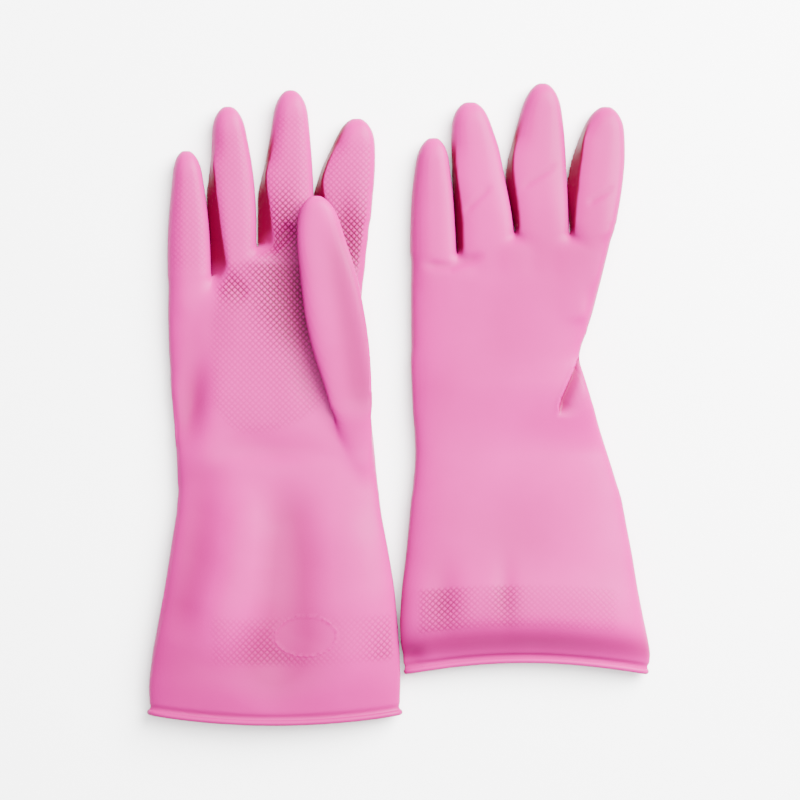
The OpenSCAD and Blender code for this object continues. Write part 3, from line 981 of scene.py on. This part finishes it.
def build_glove(glove, look):
    """One glove's film, as its pieces; keeps its mouth's edge for the bead."""
    hand = Hand(glove)
    flat, normals, thumb, faces = cut_skin(glove, hand, *glove_skin(glove, hand, look.grain / MM))
    x, y, _ = flat.T
    mask = grip_mask(glove, hand, flat, thumb, normals[:, 2])
    mask, scales = embossing(glove, mask, normals[:, 2], x, y, look.grip_pitch / MM)
    out = worn(glove, flat, normals[:, 2], thumb)
    co = flat + normals * out[:, None]
    co[:, 2] = np.maximum(co[:, 2] + lean_at(glove, co[:, 0], co[:, 1]), 0.02)
    co += normals_of(co, faces) * (mask * (scales - 0.5) * look.grip_depth / MM)[:, None]
    # The cuff's edge bows
    left, right = hand.side_x(1, y), hand.side_x(2, y)
    across = np.clip((2 * x - left - right) / (right - left), -1, 1)
    along = np.clip((y - glove["wrist"]) / (glove["mouth"] - glove["wrist"]), 0, 1)
    co[:, 1] += glove["bow"] * (1 - across**2) * along
    normals = normals_of(co, faces)

    # Painted shade: dark crimson on the fingers' left flanks deep between them, and on the left glove right
    # of its thumb fold
    gap = painted_gap_shade(glove, hand, co[:, 0], y, normals[:, 0]) * ~thumb
    if glove["side"] == "left":
        gap = np.maximum(gap, 0.5 * one_side(x, y, THUMB_FOLD, 0.8, 3.0))
    bend = bending(co, normals, faces)
    shade = painted_shade_zones(glove["side"], x, y, thumb)
    attributes = {
        # Painted dark crimson shade deep between the fingers
        "gap": gap,
        # Painted shade in the emboss's grooves
        "grip": mask**1.3 * (1 - np.clip(scales, 0, 1) ** 1.7),
        "grip_area": mask,
        # Painted highlight on convex edges
        "edge": np.clip((bend - 0.02) / 0.10, 0, 1),
        # Painted shade in concave folds
        "fold": np.clip((-bend - 0.02) / 0.10, 0, 1),
        # Painted shade in dents and in the painted shade zones
        "hollow": np.clip(shade - out / 3.0, 0, 1),
    }
    film = look.film / MM
    zones = zone_names(glove, hand, flat, faces, thumb)
    lay_pieces(glove, (co, normals), faces, zones, attributes, film)
    edge = np.flatnonzero(np.abs(y - glove["mouth"]) < 0.01)
    MOUTHS[glove["side"]] = co[edge] - normals[edge] * film / 2


def bending(co, no, faces):
    """How much the film bends: above 0 on an edge and below 0 in a fold."""
    pairs = {tuple(sorted(pair)) for face in faces for pair in zip(face, face[1:] + face[:1])}
    pairs = np.array(sorted(pairs))
    bend = ((co - neighbour_mean(co, pairs)) * no).sum(1, keepdims=True)
    for _ in range(3):
        bend = 0.5 * bend + 0.5 * neighbour_mean(bend, pairs)
    return bend[:, 0]


def normals_of(co, faces):
    """Smooth normals at every point, each face counting by its area."""
    no = np.zeros_like(co)
    quads = np.array([f for f in faces if len(f) == 4])
    d = np.cross(co[quads[:, 2]] - co[quads[:, 0]], co[quads[:, 3]] - co[quads[:, 1]])
    for i in range(4):
        for axis in range(3):
            no[:, axis] += np.bincount(quads[:, i], d[:, axis], len(co))
    for f in faces:
        if len(f) != 4:
            for a, b in zip(f[1:], f[2:]):
                no[f] += np.cross(co[a] - co[f[0]], co[b] - co[f[0]])
    return no / np.maximum(np.linalg.norm(no, axis=1), 1e-9)[:, None]


def zone_names(glove, hand, flat, faces, thumb):
    """The piece that each face belongs to, from where its corners lay before the film was worn."""
    centre = np.array([flat[f].mean(0) for f in faces])
    y = centre[:, 1]
    on_thumb = np.array([bool(thumb[f].all()) for f in faces])
    finger = hand.finger_of(*centre.T)
    names = np.full(len(faces), "hand", object)
    wrist, *others = bands(glove)
    names[y < wrist[2]] = "gauntlet"
    names[(y >= wrist[2]) & (y < wrist[3])] = "wrist"
    for name, which, start, end, _, _ in others:
        mine = on_thumb if which == "thumb" else (~on_thumb & (finger == which))
        after = "thumb" if which == "thumb" else FINGERS[which]
        names[mine & (y >= start) & (y < end)] = name
        names[mine & (y >= end)] = after + ("_base" if name.endswith("root") else "_tip")
    return names


def lay_pieces(glove, points, faces, zones, attributes, film):
    """Makes each zone's piece, and ties it to its body; a piece in a bend is left in place, tied to
    neither.
    """
    side = glove["side"]
    spans = {name: (start, end, a, b) for name, _, start, end, a, b in bands(glove)}
    groups = {}
    for face, zone in zip(faces, zones):
        groups.setdefault(zone, []).append(tuple(face))
    for zone, members in sorted(groups.items()):
        obj = film_piece(f"{side}_{zone}_film", points, members, film, attributes)
        if zone in spans:
            start, end, a, b = spans[zone]
            start * MM
            end * MM
            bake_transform(obj)
        else:
            body = zone.replace("_base", "_lower").replace("_tip", "_upper")
            body = {"gauntlet": "cuff", "hand": "palm"}.get(zone, body)
            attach(obj, f"{side}_{body}")
            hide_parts(f"{side}_{zone}")


# ---- Materials ----


class Socket:
    """A node's output, with the operators that shader maths is written in."""

    def __init__(self, tree, socket):
        self.tree, self.socket = tree, socket

    def math(self, operation, other):
        settings = {"operation": operation}
        return make_node(self.tree, "ShaderNodeMath", settings, _0=self, _1=other)["Value"]

    def __add__(self, other):
        return self.math("ADD", other)

    __radd__ = __add__

    def __mul__(self, other):
        return self.math("MULTIPLY", other)

    __rmul__ = __mul__

    def __sub__(self, other):
        return self.math("SUBTRACT", other)

    def __rsub__(self, other):
        return (self * -1.0) + other

    def clamped(self):
        return self.math("MAXIMUM", 0.0).math("MINIMUM", 1.0)


def make_node(tree, kind, settings=None, **values):
    """A node's outputs by name, with its settings made first and then its sockets' values or links.
    A socket is named with _ for a space, or by its number after a _."""
    node = tree.nodes.new(kind)
    for key, value in (settings or {}).items():
        setattr(node, key, value)
    for key, value in values.items():
        socket = node.inputs[int(key[1:]) if key.startswith("_") else key.replace("_", " ")]
        if isinstance(value, Socket):
            tree.links.new(value.socket, socket)
        else:
            socket.default_value = value
    return {output.name: Socket(tree, output) for output in node.outputs if output.enabled}


def blend_colour(tree, factor, a, b):
    return make_node(tree, "ShaderNodeMix", {"data_type": "RGBA"}, _0=factor, _6=a, _7=b)["Result"]


def rgba(colour):
    return (*colour, 1.0)


def film_material():
    """Dipped rubber: a soft even sheen and faint mottling, with painted dark red shade deep between the
    fingers, painted shade in the emboss's grooves, in folds and in hollows, and painted highlight on its
    edges.
    """
    found = bpy.data.materials.get("dipped_rubber")
    if found:
        return found
    look = bpy.context.scene.glove_look
    mat = bpy.data.materials.new("dipped_rubber")
    mat.use_nodes = True
    tree = mat.node_tree
    tree.nodes.clear()
    place = make_node(tree, "ShaderNodeTexCoord")["Object"]
    gap, grip, area, edge, fold, hollow = (
        make_node(tree, "ShaderNodeAttribute", {"attribute_name": zone})["Fac"] for zone in ZONES
    )

    def noise(scale, detail):
        return make_node(tree, "ShaderNodeTexNoise", None, Vector=place, Scale=scale, Detail=detail)["Fac"]

    mottle, cloud, grain = noise(28.0, 3.0), noise(7.0, 2.0), noise(900.0, 3.0)
    low, high, deep = rgba(look.film_low), rgba(look.film_pale_and_highlight), rgba(look.film_warm_and_shade)
    colour = blend_colour(tree, ((mottle - 0.35) * 1.1).clamped(), low, high)
    colour = blend_colour(tree, ((cloud - 0.42) * 1.4).clamped() * 0.35, colour, deep)
    # Painted shade in hollows, in folds and where the film faces away from the light
    colour = blend_colour(tree, (hollow * 0.85 + fold * 0.42).clamped(), colour, deep)
    # Painted highlight on convex edges
    colour = blend_colour(tree, (edge * 0.5).clamped(), colour, high)
    # Painted shade in the emboss's grooves
    colour = blend_colour(tree, (grip * 1.5).clamped(), colour, rgba(look.groove))
    # Painted dark crimson shade deep between the fingers
    colour = blend_colour(tree, gap.clamped(), colour, rgba(look.gap))
    out = make_node(
        tree, "ShaderNodeBsdfPrincipled", None,
        Base_Color=colour,
        Roughness=mottle * 0.10 + area * 0.06 + 0.36,
        Normal=make_node(
            tree, "ShaderNodeBump", None, Strength=0.18, Distance=0.00008, Height=grain)["Normal"],
        Specular_IOR_Level=0.1,
    )
    make_node(tree, "ShaderNodeOutputMaterial", None, Surface=out["BSDF"])
    return mat


def floor_material():
    mat = bpy.data.materials.new("plain_floor")
    mat.use_nodes = True
    shader = mat.node_tree.nodes["Principled BSDF"]
    shader.inputs["Base Color"].default_value = rgba(bpy.context.scene.glove_stage.floor)
    shader.inputs["Roughness"].default_value = 0.9
    return mat


# ---- Settings ----


class GLOVE_PG_look(bpy.types.PropertyGroup):
    """Sizes and colours of the film, and of its painted shade and painted highlight."""

    film: FloatProperty(name="Film", description="Thickness of the rubber", default=0.00045, unit="LENGTH")
    bead: FloatProperty(
        name="Bead", description="Diameter of the rolled edge", default=0.0029, unit="LENGTH")
    grain: FloatProperty(
        name="Mesh step", description="Size of the skin's quads", default=0.0009, unit="LENGTH")
    grip_pitch: FloatProperty(
        name="Grip pitch", description="Distance between embossed diamonds", default=0.00212, unit="LENGTH")
    grip_depth: FloatProperty(
        name="Grip depth", description="Height of the embossed diamonds", default=0.00038, unit="LENGTH")
    film_low: FloatVectorProperty(
        name="Pink", description="The film's colour", subtype="COLOR", size=3,
        default=(0.295, 0.0006, 0.126))
    # Also the painted highlight on the film's convex edges
    film_pale_and_highlight: FloatVectorProperty(
        name="Pale pink", description="Its paler patches", subtype="COLOR", size=3,
        default=(0.38, 0.0012, 0.170))
    # Also the colour of the painted shade in folds, dents and shade zones
    film_warm_and_shade: FloatVectorProperty(
        name="Warm pink", description="Its warmer patches", subtype="COLOR", size=3,
        default=(0.195, 0.0004, 0.076))
    # The colour of the painted shade in the emboss's grooves
    groove: FloatVectorProperty(
        name="Groove", description="Between the diamonds", subtype="COLOR", size=3,
        default=(0.088, 0.0002, 0.026))
    # The colour of the painted shade deep between two fingers
    gap: FloatVectorProperty(
        name="Gap", description="Deep between two fingers", subtype="COLOR", size=3,
        default=(0.125, 0.0008, 0.0185))


class GLOVE_PG_stage(bpy.types.PropertyGroup):
    """The floor, the lights and the camera."""

    floor: FloatVectorProperty(
        name="Floor", description="The floor's colour", subtype="COLOR", size=3,
        default=(0.93, 0.93, 0.93))
    distance: FloatProperty(
        name="Camera height", description="Height of the camera", default=1.6, unit="LENGTH")
    span: FloatProperty(
        name="View width", description="Width seen on the floor", default=0.404, unit="LENGTH")
    key: FloatProperty(name="Key light", description="Power of the key light", default=326.0, unit="POWER")
    fill: FloatProperty(name="Sky", description="Brightness of the soft sky", default=0.8)


# ---- Operators ----


class GLOVE_OT_right(bpy.types.Operator):
    """Build the right-hand glove's film, palm up"""

    bl_idname = "glove.right"
    bl_label = "Right-hand glove"

    def execute(self, context):
        build_glove(RIGHT, context.scene.glove_look)
        return {"FINISHED"}


class GLOVE_OT_left(bpy.types.Operator):
    """Build the left-hand glove's film, back up"""

    bl_idname = "glove.left"
    bl_label = "Left-hand glove"

    def execute(self, context):
        build_glove(LEFT, context.scene.glove_look)
        return {"FINISHED"}


class GLOVE_OT_beads(bpy.types.Operator):
    """Roll the bead round each cuff"""

    bl_idname = "glove.beads"
    bl_label = "Rolled beads"

    def execute(self, context):
        look = context.scene.glove_look
        for side, points in MOUTHS.items():
            roll_bead(side, points, look.bead / MM / 2)
        return {"FINISHED"}


class GLOVE_OT_left_thumb(bpy.types.Operator):
    """Build the left thumb, pressed flat under the palm"""

    bl_idname = "glove.left_thumb"
    bl_label = "Left thumb"

    def execute(self, context):
        build_left_thumb(context.scene.glove_look)
        return {"FINISHED"}


class GLOVE_OT_stage(bpy.types.Operator):
    """Lay the floor and set the lights and the camera"""

    bl_idname = "glove.stage"
    bl_label = "Stage"

    def execute(self, context):
        set_stage(context.scene.glove_stage)
        return {"FINISHED"}


def even_loop(points, count):
    """Points round a flat mouth, in order and evenly spaced, softly rounded."""
    middle = points.mean(0)
    # The mouth is far wider than it is high, so it is brought near to round before its angles are taken
    angle = np.arctan2((points[:, 2] - middle[2]) / 7.0, (points[:, 0] - middle[0]) / 60.0)
    loop = points[np.argsort(angle)]
    loop = np.vstack([loop, loop[:1]])
    run = np.r_[0, np.cumsum(np.linalg.norm(np.diff(loop, axis=0), axis=1))]
    even = np.linspace(0, run[-1], count, endpoint=False)
    path = np.stack([np.interp(even, run, column) for column in loop.T], axis=1)
    for _ in range(10):
        path = (np.roll(path, 1, 0) + 2 * path + np.roll(path, -1, 0)) / 4
    return path


def roll_bead(side, points, radius, count=300, sides=16):
    """A round section swept round the mouth's edge."""
    path = even_loop(points, count)
    along = np.roll(path, -1, 0) - np.roll(path, 1, 0)
    along /= np.linalg.norm(along, axis=1)[:, None]
    out = np.stack([along[:, 2], np.zeros(count), -along[:, 0]], axis=1)
    out /= np.linalg.norm(out, axis=1)[:, None]
    up = np.cross(along, out)
    path[:, 2] = np.maximum(path[:, 2], radius + 0.05)
    turns = 2 * math.pi * np.arange(sides) / sides
    rings = [path + radius * (math.cos(a) * out + math.sin(a) * up) for a in turns]
    co = np.stack(rings, axis=1).reshape(-1, 3)
    faces = []
    for i in range(count):
        k = (i + 1) % count
        for j in range(sides):
            m = (j + 1) % sides
            faces.append((i * sides + j, k * sides + j, k * sides + m, i * sides + m))
    mesh = bpy.data.meshes.new(f"{side}_bead_roll")
    mesh.from_pydata((co * MM).tolist(), [], faces)
    mesh.polygons.foreach_set("use_smooth", np.ones(len(faces), bool))
    # The bead's painted shade
    depth = mesh.attributes.new("hollow", "FLOAT", "POINT")
    depth.data.foreach_set("value", np.full(len(co), BEAD_PAINTED_SHADE[side], np.float32))
    bm = bmesh.new()
    bm.from_mesh(mesh)
    bmesh.ops.recalc_face_normals(bm, faces=bm.faces[:])
    bm.to_mesh(mesh)
    bm.free()
    mesh.materials.append(film_material())
    obj = bpy.data.objects.new(f"{side}_bead_roll", mesh)
    bpy.context.collection.objects.link(obj)
    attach(obj, f"{side}_cuff")
    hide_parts(f"{side}_bead")


def build_left_thumb(look):
    """The left thumb, whose root is hidden inside the palm."""
    rows = measured("left", "thumb", "thumb_swing", 40, 1.6)
    rows = softened(np.concatenate([LEFT_THUMB_ROOT, rows]), 3)
    points, quads = one_skin([loft(rings_from(rows, outline(48, 2.6, 2.6, 3.2, 0.45)))], 0.8)
    # Its left side is pressed a little flatter, under the palm
    across = np.clip((points[:, 0] - 72) / 14, -1, 1)
    points[:, 2] = np.maximum(points[:, 2] - 0.5 * (1 - across) * (points[:, 2] > 3), 0.05)
    points = relaxed(points, quad_edges(quads), 4)
    bm = new_bmesh(points, quads)
    cut_off(bm, LEFT_THUMB_CUTS[0])
    for y in LEFT_THUMB_CUTS[1:]:
        cut_across(bm, y)
    co = arrays(bm)[0]
    faces = [[v.index for v in f.verts] for f in bm.faces]
    bm.free()
    film = co, normals_of(co, faces)
    attributes = dict.fromkeys(ZONES, np.zeros(len(co)))
    _, base, tip = LEFT_THUMB_CUTS[1:]
    for name, low, high in (("root", -math.inf, base), ("base", base, tip), ("tip", tip, math.inf)):
        members = [tuple(f) for f in faces if low <= co[f, 1].mean() < high]
        obj = film_piece(f"left_thumb_{name}_film", film, members, look.film / MM, attributes)
        if name == "root":
            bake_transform(obj)
        else:
            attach(obj, "left_thumb")
            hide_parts(f"left_thumb_{name}")


def add_lamp(name, place, size, power):
    """A square soft lamp that faces the gloves."""
    lamp = bpy.data.lights.new(name, "AREA")
    lamp.size = size
    lamp.energy = power
    obj = bpy.data.objects.new(name, lamp)
    obj.location = place
    obj.rotation_euler = (-Vector(place)).to_track_quat("-Z", "Y").to_euler()
    bpy.context.collection.objects.link(obj)


def set_stage(stage):
    mesh = bpy.data.meshes.new("floor")
    corners = [(x * FLOOR_HALF, y * FLOOR_HALF, 0) for x, y in ((-1, -1), (1, -1), (1, 1), (-1, 1))]
    mesh.from_pydata(corners, [], [(0, 1, 2, 3)])
    mesh.materials.append(floor_material())
    floor = bpy.data.objects.new("floor", mesh)
    floor.location.z = -0.0002
    bpy.context.collection.objects.link(floor)

    world = bpy.data.worlds.new("soft_sky")
    world.use_nodes = True
    background = world.node_tree.nodes["Background"]
    background.inputs["Color"].default_value = (1, 1, 1, 1)
    background.inputs["Strength"].default_value = stage.fill
    bpy.context.scene.world = world
    add_lamp("key", (1.0, 0.85, 1.15), 1.5, stage.key)
    add_lamp("top", (0.0, 0.1, 2.4), 1.6, stage.key * 0.32)

    camera = bpy.data.objects.new("camera", bpy.data.cameras.new("camera"))
    camera.location = (0.0005, 0.0018, stage.distance)
    camera.data.sensor_width = SENSOR
    camera.data.lens = SENSOR * stage.distance / stage.span
    camera.data.clip_start, camera.data.clip_end = 0.05, 20.0
    bpy.context.collection.objects.link(camera)
    bpy.context.scene.camera = camera


class GLOVE_PT_panel(bpy.types.Panel):
    """Lists the gloves' steps"""

    bl_idname = "GLOVE_PT_panel"
    bl_label = "Rubber gloves"
    bl_space_type = "VIEW_3D"
    bl_region_type = "UI"
    bl_category = "Gloves"

    def draw(self, context):
        for operator in OPERATORS:
            self.layout.operator(operator.bl_idname)
        for group in (context.scene.glove_look, context.scene.glove_stage):
            box = self.layout.box()
            for name in group.bl_rna.properties.keys():
                if name not in ("rna_type", "name"):
                    box.prop(group, name)


OPERATORS = (GLOVE_OT_right, GLOVE_OT_left, GLOVE_OT_beads, GLOVE_OT_left_thumb, GLOVE_OT_stage)
CLASSES = (GLOVE_PG_look, GLOVE_PG_stage) + OPERATORS + (GLOVE_PT_panel,)


def register():
    for cls in CLASSES:
        bpy.utils.register_class(cls)
    bpy.types.Scene.glove_look = PointerProperty(type=GLOVE_PG_look)
    bpy.types.Scene.glove_stage = PointerProperty(type=GLOVE_PG_stage)


def unregister():
    del bpy.types.Scene.glove_stage
    del bpy.types.Scene.glove_look
    for cls in reversed(CLASSES):
        bpy.utils.unregister_class(cls)


def main():
    register()
    bpy.ops.glove.right()
    bpy.ops.glove.left()
    bpy.ops.glove.beads()
    bpy.ops.glove.left_thumb()
    bpy.ops.glove.stage()


if __name__ == "__main__":
    main()
